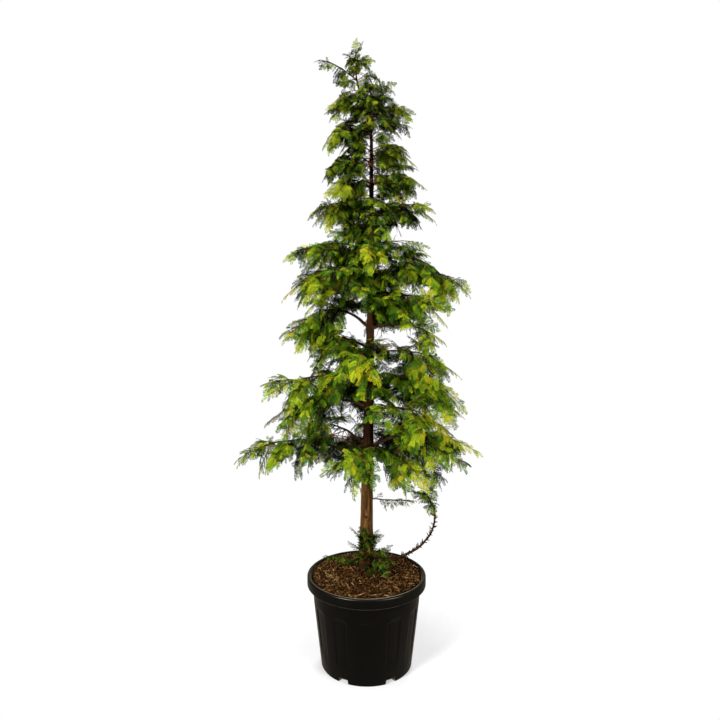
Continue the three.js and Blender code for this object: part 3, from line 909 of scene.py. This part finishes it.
def bough_line(bough):
    """The whole line of a bough, from the trunk's middle to the tip of its foliage."""
    share = ((np.arange(PATH_STEPS) + 0.5) / PATH_STEPS) ** bough.bend
    steps = heading(np.full(PATH_STEPS, bough.bearing), lerp(bough.leaves, bough.ends, share))
    root = trunk_centre(bough.height)
    return np.concatenate([root[None], root + np.cumsum(steps, axis=0) * bough.length / PATH_STEPS])


def at_share(line, share):
    """The points of an evenly stepped line at shares of its length."""
    place = np.asarray(share) * (len(line) - 1)
    steps = np.arange(len(line))
    return np.stack([np.interp(place, steps, line[:, axis]) for axis in range(3)], axis=-1)


def ahead_at(line, share):
    step = 0.5 / (len(line) - 1)
    return unit(at_share(line, np.minimum(share + step, 1)) - at_share(line, np.maximum(share - step, 0)))


def spray_length(bough):
    if bough.spray is not None:
        return bough.spray
    return np.clip(SPRAY_SHARE * bough.length, *SPRAY_LENGTH)


def tip_length(bough):
    return min(TIP_SPRAY_LENGTH * spray_length(bough), TIP_SPRAY_MOST * bough.length)


@dataclass
class Shoot:
    """A leafy shoot: where it grows from, its direction and length, how far out it is, its sag and habit."""

    root: np.ndarray
    along: np.ndarray
    length: float
    outer: float
    sag: float
    habit: Habit = LEAFY

    @property
    def size(self):
        """How large its branchlets are: they are smaller up the crown and round the trunk's foot."""
        if self.root[2] < FOOT_TOP:
            return FOOT_SIZE
        return lerp(1.0, UPPER_SIZE, smooth(self.root[2], *UPPER_CROWN))


def fan_direction(bough, line, share, turn, angle):
    """The direction of a shoot that leaves its bough at a turn round it and an angle from it."""
    forward = ahead_at(line, share)
    side = heading(bough.bearing - 90, 0)
    over = np.cross(side, forward)
    turn, angle = math.radians(turn), math.radians(angle)
    out = side * math.cos(turn) + over * math.sin(turn)
    return unit(forward * math.cos(angle) + out * math.sin(angle) - UP * SPRAY_DROOP)


def sag_at(z):
    """How far the shoots at a height bend down, which is more up the crown."""
    return SHOOT_SAG * lerp(1.0, UPPER_SAG, smooth(z, *UPPER_CROWN))


def shoot_sag(bough):
    """How far the shoots of a bough bend down: little on the leader and on the low growth."""
    if bough.spiral or bough.thick:
        return STIFF_SAG * SHOOT_SAG
    return sag_at(bough.height)


def grow(bough, seed, random):
    """The shoots of a bough: those that the solids have, and shorter ones between them."""
    line = bough_line(bough)
    draws = seeded(seed)

    def spread(most):
        return most * (2 * next(draws) - 1)

    longest, tip = spray_length(bough), tip_length(bough)
    start, end = bough.bare, 1 - tip / bough.length
    count = int(np.clip(round((end - start) * bough.length / FAN_STEP), *FAN_COUNT))
    sag = shoot_sag(bough)
    # How far out the bough's shoots count as: further out, their needles are painted lighter as light,
    # further in darker as shade
    outerness = LOW_OUTERNESS if bough.thick else min(longest / SPRAY_LENGTH[0], 1.0)
    hanging = HANGING_STEPS if bough.ends < WEEPING else HANGING_STEPS[:1]

    def sprout(place, turn, angle, length, habit):
        direction = fan_direction(bough, line, place, turn, angle)
        loose = sag * random.uniform(*SAG_SPREAD)
        return Shoot(at_share(line, place), direction, length, outerness * place, loose, habit)

    shoots = []
    for i in range(count):
        share = (i + FAN_FROM) / count
        rank = GOLDEN_ANGLE * i if bough.spiral else FAN_RANKS[i % len(FAN_RANKS)]
        turn = rank + spread(UNEVEN_TURN)
        angle = lerp(*FAN_ANGLES, share) + spread(UNEVEN_ANGLE)
        length = longest * (1 - SPRAY_SHRINK * share) * (1 + spread(UNEVEN_LENGTH))
        # The solids take one more number here
        next(draws)
        spray = sprout(lerp(start, end, share), turn, angle, length, LEAFY)
        shoots += [spray, *side_shoots(spray, random)]
        for step in hanging:
            place = lerp(start, end, (i + step) / count)
            turn = random.uniform(*HANGING_TURNS)
            hang_angle = angle + random.normal(0, HANGING_ANGLE_SPREAD)
            hang = lerp(*HANGING_LENGTH, place) * length * random.uniform(*SHOOT_UNEVEN)
            shoots.append(sprout(place, turn, hang_angle, hang, LOOSE))
    tip_root = at_share(line, end)
    shoots.append(Shoot(tip_root, unit(line[-1] - tip_root), tip, outerness, TIP_SAG * sag))
    return shoots


def side_shoots(shoot, random):
    """Shorter shoots to both sides of a long one."""
    if shoot.length < SIDE_LEAST:
        return []
    shares = np.linspace(*SIDE_SPAN, SIDE_SHOOTS)
    points, ahead, normal = shoot_frame(shoot, shares, random.normal(0, SHOOT_ROLL))
    side = np.cross(normal, ahead)
    made = []
    for i, share in enumerate(shares):
        angle = math.radians(SIDE_ANGLE + random.normal(0, SIDE_ANGLE_SPREAD)) * (-1) ** i
        direction = ahead[i] * math.cos(angle) + side[i] * math.sin(angle)
        direction = direction + normal[i] * random.normal(0, SIDE_LIFT_SPREAD)
        length = SIDE_LENGTH * (1 - SIDE_SHRINK * share) * shoot.length * random.uniform(*SHOOT_UNEVEN)
        made.append(Shoot(points[i], unit(direction), length, shoot.outer, SIDE_SAG * shoot.sag))
    return made


def trunk_shoots(random):
    """Short leafy shoots straight from the trunk, between the boughs."""
    shoots = []
    for i in range(TRUNK_SHOOTS):
        share = ((i + random.random()) / TRUNK_SHOOTS) ** TRUNK_SHOOT_CROWDING
        z = lerp(*TRUNK_SHOOT_SPAN, share)
        if any(low < z < high for low, high in BARE_TRUNK):
            continue
        direction = heading(GOLDEN_ANGLE * i, random.uniform(*TRUNK_SHOOT_CLIMB))
        length = np.interp(z, *TRUNK_SHOOT_LENGTH) * random.uniform(*TRUNK_SHOOT_UNEVEN)
        sag = sag_at(z) * random.uniform(*SAG_SPREAD)
        shoot = Shoot(trunk_centre(z), direction, length + trunk_radius(z), INNER_OUTERNESS, sag)
        shoots += [shoot, *side_shoots(shoot, random)]
    return shoots


def foot_sprigs(random):
    """Shoots that lie over the soil, and short climbing ones round the front of the trunk's foot."""
    root = trunk_centre(FOOT_FROND_HEIGHT)
    shoots = [Shoot(root, heading(bearing, FOOT_FROND_CLIMB), length, INNER_OUTERNESS, FOOT_SAG)
              for bearing, length in FOOT_FRONDS]
    for share in np.linspace(0, 1, FOOT_SPRIGS):
        z = random.uniform(*FOOT_SPRIG_SPAN)
        bearing = lerp(*FOOT_SPRIG_BEARINGS, share) + random.normal(0, FOOT_SPRIG_SPREAD)
        length = trunk_radius(z) + random.uniform(*FOOT_SPRIG_LENGTH)
        direction = heading(bearing, random.uniform(*FOOT_SPRIG_CLIMB))
        shoots.append(Shoot(trunk_centre(z), direction, length, INNER_OUTERNESS, FOOT_SAG))
    return shoots


def spur_skin(root, direction, length):
    """A short dry spur."""
    radii = np.repeat(np.array(SPUR_TAPER)[:, None], SPUR_SIDES, axis=1) * SPUR_RADIUS
    shares = np.linspace(0, 1, len(SPUR_TAPER))[:, None]
    return closed(turned(root + shares * direction * length, radii))


def spur_skins(random):
    """Dry spurs on the bare trunk and along the shoot from its foot."""
    skins = []
    for i in range(TRUNK_SPURS):
        z = lerp(*TRUNK_SPUR_SPAN, (i + random.random()) / TRUNK_SPURS)
        direction = heading(GOLDEN_ANGLE * i + TRUNK_SPUR_TURN, random.uniform(*TRUNK_SPUR_CLIMB))
        skins.append(spur_skin(trunk_centre(z), direction, trunk_radius(z) + random.uniform(*SPUR_LENGTH)))
    shoot = next(bough for bough in BOUGHS if bough.name == "foot_shoot")
    line = bough_line(shoot)
    for share in np.linspace(*SHOOT_SPUR_SPAN, SHOOT_SPURS):
        direction = fan_direction(shoot, line, share, random.uniform(0, 360), SHOOT_SPUR_ANGLE)
        skins.append(spur_skin(at_share(line, share), direction, random.uniform(*SPUR_LENGTH)))
    return skins


def bough_skin(bough, random):
    """The bough's wood, from inside the trunk to the end of its stem."""
    line = bough_line(bough)
    end = 1 - tip_length(bough) / bough.length
    rings = max(int(end * bough.length / BOUGH_RING_STEP), BOUGH_FEWEST_RINGS)
    share = np.linspace(0, end, rings)
    thick = limb_radius(bough)
    thinner = LIMB_TAPER if bough.bare else STEM_THINNER
    stem_from = max(bough.bare, BOUGH_COLLAR)
    taper = np.interp(share, [0, stem_from, end], [thick, thick * thinner, STEM_TIP_RADIUS])
    around = np.arange(BOUGH_COLUMNS) / BOUGH_COLUMNS
    around, along = np.broadcast_arrays(around, share[:, None] * bough.length)
    bumps = lattice_noise(around, along, *BOUGH_BUMPS, random)
    radii = taper[:, None] * (BOUGH_THINNEST + BOUGH_ROUGH * bumps)
    wander = np.cumsum(random.normal(0, BOUGH_WANDER, (rings, 3)), axis=0)
    wander -= np.linspace(0, 1, rings)[:, None] * wander[-1]
    return closed(turned(at_share(line, share) + wander, radii))


# Shoots and needles


def branchlet_length(shoot):
    return min(shoot.habit.length * shoot.size, BRANCHLET_SHARE * shoot.length)


def shoot_line(shoot):
    """The line of a shoot's wood, which bends down and ends where the last branchlet goes on from it."""
    share = (np.arange(SHOOT_STEPS) + 0.5)[:, None] / SHOOT_STEPS
    rise = max(shoot.along[2], 0.0)
    steps = unit(shoot.along - UP * (1 + rise) * shoot.sag * share**SAG_CURVE)
    wood = shoot.length - LAST_BRANCHLET * branchlet_length(shoot)
    return np.concatenate([shoot.root[None], shoot.root + np.cumsum(steps, axis=0) * wood / SHOOT_STEPS])


def shoot_frame(shoot, share, roll):
    """Points, directions and upper sides along a shoot."""
    line = shoot_line(shoot)
    ahead = ahead_at(line, share)
    level = UP if abs(shoot.along[2]) < STEEP else np.array([0.0, -1.0, 0.0])
    normal = square_to(level + SHOOT_LEAN * shoot.along - SHOOT_LEAN * UP, ahead)
    side = np.cross(normal, ahead)
    roll = math.radians(roll)
    return at_share(line, share), ahead, normal * math.cos(roll) + side * math.sin(roll)


def shoot_skin(shoot):
    """The thin wood of a shoot."""
    line = shoot_line(shoot)[::SHOOT_RING_STEP]
    radius = SHOOT_RADIUS * min(shoot.length / SHOOT_FULL_LENGTH, SHOOT_MOST_FULL) ** 0.5
    taper = np.linspace(radius, SHOOT_TAPER * radius, len(line))
    return closed(turned(line, np.repeat(taper[:, None], SHOOT_SIDES, axis=1)))


def opened(groups):
    """Groups of branchlets as one, without those near the trunk or where the crown is open to the sky."""
    joined = [np.concatenate(values) for values in zip(*groups)]
    x, y, z = joined[0].T
    near = np.hypot(x - trunk_centre(z)[:, 0], y) < INNER_BARE
    kept = ~(near & (z > INNER_BARE_FROM) & (z < TRUNK_TOP))
    for left, right, low, high in OPEN_SKY:
        kept &= ~((left < x) & (x < right) & (low < z) & (z < high))
    return [values[kept] for values in joined]


def leaf_out(shoot, roll, random):
    """Opposite pairs of branchlets along a shoot and one on its end: two groups, each of roots, directions,
    upper sides, lengths, lightness and if they are loose."""
    habit = shoot.habit
    first, last = PAIRS_SPAN
    steps = max(int((last - first) * shoot.length / (habit.step * shoot.size)), PAIRS_FEWEST)
    share = np.repeat(np.linspace(first, last, steps), 2)
    count = len(share)
    share = np.clip(share + random.normal(0, PAIRS_SPREAD, count), PAIRS_LEAST, 1.0)
    hand = np.tile([1.0, -1.0], steps)[:, None]
    points, ahead, normal = shoot_frame(shoot, share, roll)
    side = np.cross(normal, ahead) * hand
    angle = lerp(*BRANCHLET_ANGLES, share) + random.normal(0, BRANCHLET_ANGLE_SPREAD, count)
    angle = np.radians(angle)[:, None]
    droop = random.uniform(*habit.droop, (count, 1))
    out = unit(ahead * np.cos(angle) + side * np.sin(angle) - UP * droop)
    longest = branchlet_length(shoot)
    lengths = longest * np.interp(share, *BRANCHLET_PROFILE) * random.normal(1, BRANCHLET_SPREAD, count)
    normals = square_to(normal + random.normal(0, BRANCHLET_TWIST, (count, 3)), out)
    # Painted light and shade: needles far out are lighter and inner ones darker; young growth near the ends
    # is lighter too
    higher = HIGH_LIGHTER * smooth(shoot.root[2], *HIGH_LIGHTER_SPAN)
    light = OUTER_LIGHTER * shoot.outer + higher + random.normal(0, SHOOT_CHANCE)
    lights = light + END_LIGHTER * share + random.normal(0, BRANCHLET_CHANCE, count)
    loose = habit is LOOSE
    pairs = points, out, normals, lengths, lights, np.full(count, loose)
    end = *shoot_frame(shoot, np.array([LAST_BRANCHLET_AT]), roll), [longest], [light + LAST_LIGHTER], [loose]
    return pairs, end


def branchlet_kind(needles, random):
    """One branchlet of length 1 along +X with its upper side to +Z: a thin stalk and opposite needles."""
    pairs, width = needles.pairs, needles.width
    sag = random.uniform(*KIND_SAG)
    sway = random.uniform(*KIND_SWAY)

    def curve(x):
        return np.stack([x, sway * x * x, -sag * x * x], axis=-1)

    share = np.repeat(np.linspace(*NEEDLE_SPAN, pairs), 2)
    count = len(share)
    hand = np.tile([1.0, -1.0], pairs)
    angle = np.radians(lerp(*NEEDLE_ANGLES, share) + random.normal(0, NEEDLE_ANGLE_SPREAD, count)) * hand
    length = needles.length * np.interp(share, *NEEDLE_PROFILE) * random.normal(1, NEEDLE_SPREAD, count)
    share = np.append(share, LAST_NEEDLE_AT)
    angle = np.append(angle, 0.0)
    length = np.append(length, LAST_NEEDLE)
    tilt = random.normal(*NEEDLE_TILT, len(share))
    along = unit(np.stack([np.cos(angle), np.sin(angle), tilt], axis=-1))
    across = unit(np.cross(UP, along)) * width / 2
    base = curve(share)
    middle = base + along * (NEEDLE_MIDDLE * length)[:, None]
    fold = UP * NEEDLE_FOLD * width
    tip = base + along * length[:, None] - UP * (NEEDLE_CURL * length)[:, None]
    blades = np.stack([base, middle + across + fold, tip, middle - across + fold], axis=1).reshape(-1, 3)
    first = 4 * np.arange(len(share))[:, None]
    faces = np.concatenate([first + [0, 2, 1], first + [0, 3, 2]])
    spine = curve(np.array(STALK_AT))
    half = np.array(STALK_HALF_WIDTH)[:, None] * np.array([0.0, 1.0, 0.0])
    stalk = np.concatenate([spine - half, spine + half])
    strips = np.array([[0, 1, 4], [0, 4, 3], [1, 2, 5], [1, 5, 4]])
    return join([(blades, faces), (stalk, strips)])


def placed(kind, roots, ahead, normals, lengths):
    """Copies of one kind of branchlet at many places, as one mesh."""
    vertices, triangles = kind
    side = np.cross(normals, ahead)
    axes = np.stack([ahead, side, normals], axis=1) * lengths[:, None, None]
    points = np.einsum("vk,nkx->nvx", vertices, axes) + roots[:, None]
    starts = np.arange(len(roots))[:, None, None] * len(vertices)
    return points.reshape(-1, 3), (triangles[None] + starts).reshape(-1, 3)


def make_needles(branchlets, tints, needles, masses, random):
    """The joined needles of each tint, which is dealt out by how light the branchlets are."""
    *places, lights, loose = branchlets
    steps = np.cumsum([share for share, _ in tints.values()])[:-1]
    tint = np.searchsorted(np.quantile(lights, steps), lights)
    kind = random.integers(0, BRANCHLET_KINDS, len(lights)) + BRANCHLET_KINDS * loose
    kinds = [branchlet_kind(shape, random) for shape in needles for _ in range(BRANCHLET_KINDS)]
    for number, (name, (_, colour)) in enumerate(tints.items()):
        parts = []
        for which, shape in enumerate(kinds):
            chosen = (tint == number) & (kind == which)
            parts.append(placed(shape, *(values[chosen] for values in places)))
        material = plain_material(f"needle_{name}", colour, 0.7, 0.08)
        piece(f"needles_{name}", join(parts), material, masses)


def make_tree(random):
    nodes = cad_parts
    boughs = [name for name in nodes if name.startswith("bough_")]
    masses = [name for name in nodes if name.startswith("foliage_")]
    spurs = spur_skins(np.random.default_rng(seed=15))
    wood = join([bough_skin(bough, random) for bough in BOUGHS] + spurs)
    piece("boughs", wood, limb_material(), boughs)
    shoots = trunk_shoots(random) + foot_sprigs(random)
    for number, bough in enumerate(BOUGHS):
        shoots += grow(bough, number + 1, random)
    piece("twigs", join([shoot_skin(shoot) for shoot in shoots]), twig_material(), masses)
    groups = []
    for shoot in shoots:
        groups += leaf_out(shoot, random.normal(0, SHOOT_ROLL), random)
    grown = opened(groups)
    zone = np.searchsorted([FOOT_TOP, UPPER_FROM], grown[0][:, 2])
    zones = ((FOOT_TINTS, FINE), (TINTS, FINE), (UPPER_TINTS, BROAD))
    for number, (tints, needles) in enumerate(zones):
        make_needles([values[zone == number] for values in grown], tints, needles, masses, random)


# Studio


def floor_material():
    """Pale, and fading into the white round it."""
    made = Paint("floor", 0.9, 0.1)
    made.shade(Base_Color=(FLOOR_GREY, FLOOR_GREY, FLOOR_GREY, 1.0))
    made.shade(Emission_Color=WHITE, Emission_Strength=FLOOR_GLOW)
    place = made.node("ShaderNodeTexCoord").outputs["Object"]
    reach = made.node("ShaderNodeVectorMath")
    reach.operation = "LENGTH"
    made.feed(reach.inputs[0], place)
    near, far = FLOOR_FADE
    fade = made.node("ShaderNodeMapRange", Value=reach.outputs["Value"], From_Min=near, From_Max=far)
    fade.interpolation_type = "SMOOTHSTEP"
    clear = made.node("ShaderNodeBsdfTransparent").outputs["BSDF"]
    faded = made.node("ShaderNodeMixShader")
    for socket, value in zip(faded.inputs, (fade.outputs["Result"], made.shader.outputs["BSDF"], clear)):
        made.feed(socket, value)
    made.feed(made.tree.nodes["Material Output"].inputs["Surface"], faded.outputs["Shader"])
    return made.material


def make_floor():
    """A round floor just under the pot, which the black plastic doesn't mirror."""
    rim = polar(FLOOR_RADIUS, full_turn(FLOOR_SIDES), np.full(FLOOR_SIDES, -FLOOR_DROP))
    mesh = bpy.data.meshes.new("floor")
    mesh.from_pydata(rim.tolist(), [], [list(range(FLOOR_SIDES))])
    mesh.materials.append(floor_material())
    floor = shown("floor", mesh)
    floor.visible_glossy = False


def make_light(name, place, target, size, power, mirrored=True):
    """A round softbox, which shiny surfaces mirror or not."""
    data = bpy.data.lights.new(name, "AREA")
    data.shape = "DISK"
    data.size = size
    data.energy = power
    light = shown(name, data)
    light.location = place
    light.visible_glossy = mirrored
    aim = np.array(target) - np.array(place)
    light.rotation_euler = Vector(aim).to_track_quat("-Z", "Y").to_euler()


def make_world():
    """White to look at, and a soft even light."""
    world = bpy.data.worlds.new("studio")
    bpy.context.scene.world = world
    world.use_nodes = True
    tree = world.node_tree
    background = tree.nodes["Background"]
    background.inputs["Color"].default_value = WHITE
    seen = tree.nodes.new("ShaderNodeLightPath").outputs["Is Camera Ray"]
    strength = tree.nodes.new("ShaderNodeMapRange")
    strength.inputs["To Min"].default_value = SKY_LIGHT
    tree.links.new(seen, strength.inputs["Value"])
    tree.links.new(strength.outputs["Result"], background.inputs["Strength"])


def make_lights():
    make_light("left_softbox", (-3.5, -4.0, 2.6), (0.0, 0.0, 1.2), 1.8, 420.0)
    make_light("right_softbox", (3.9, -3.8, 2.2), (0.0, 0.0, 1.0), 2.2, 260.0)
    make_light("top_softbox", (0.0, -0.6, 7.0), (0.0, 0.0, 1.0), 2.6, 220.0)
    make_light("back_softbox", (0.9, 4.8, 2.8), (0.0, 0.0, 1.1), 2.6, 240.0, mirrored=False)


def make_camera():
    """A level camera in front of the tree, shifted down to take in the pot, and plain colours."""
    data = bpy.data.cameras.new("camera")
    data.lens = 33.04
    data.sensor_width = 36.0
    data.shift_y = -0.0944
    data.clip_end = 100.0
    camera = shown("camera", data)
    camera.location = (-0.0266, -2.70, 1.5045)
    camera.rotation_euler = (math.pi / 2, 0.0, 0.0)
    bpy.context.scene.camera = camera
    bpy.context.scene.view_settings.view_transform = "Standard"


make_camera()
make_world()
make_lights()
make_floor()
make_pot()
make_soil(np.random.default_rng(seed=11))
make_chips(np.random.default_rng(seed=12))
make_trunk(np.random.default_rng(seed=13))
make_tree(np.random.default_rng(seed=14))
